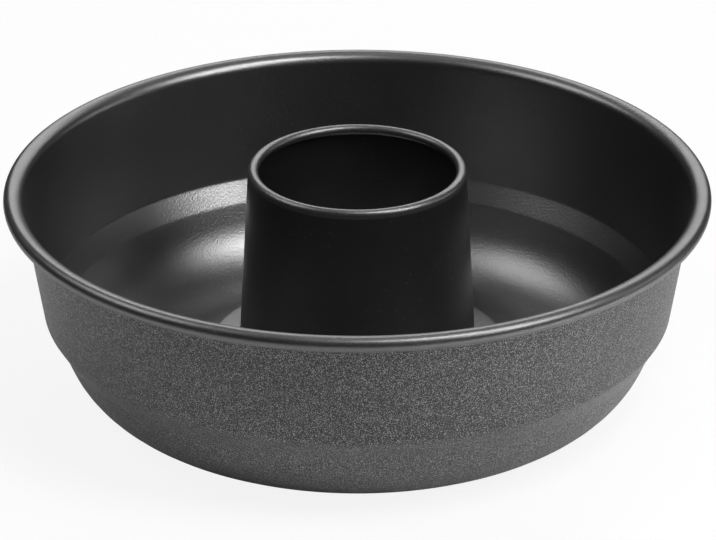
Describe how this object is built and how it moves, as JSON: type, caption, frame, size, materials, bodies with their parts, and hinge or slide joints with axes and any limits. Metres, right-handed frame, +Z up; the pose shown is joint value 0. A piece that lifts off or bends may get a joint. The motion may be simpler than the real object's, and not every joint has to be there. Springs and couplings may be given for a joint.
{
  "type": "ring cake pan",
  "caption": "Round stepped baking pan of coated steel with a rolled rim and a tapered open tube in the middle, for ring-shaped cakes.",
  "frame": {"origin": "centre of the pan on the plane that it stands on", "axes": "+Z up along the tube's axis, +X and +Y across the pan, which is round about Z"},
  "size_m": [0.2718, 0.2718, 0.0924],
  "materials": {
    "shell_coating": "satin charcoal non-stick coating with a fine metallic grain",
    "tube_coating": "smooth satin black non-stick coating",
    "wire_steel": "plain drawn steel wire"
  },
  "bodies": {
    "root": {"pan_shell": "shell_coating", "center_tube": "tube_coating", "rim_wire": "wire_steel"}
  },
  "joints": []
}
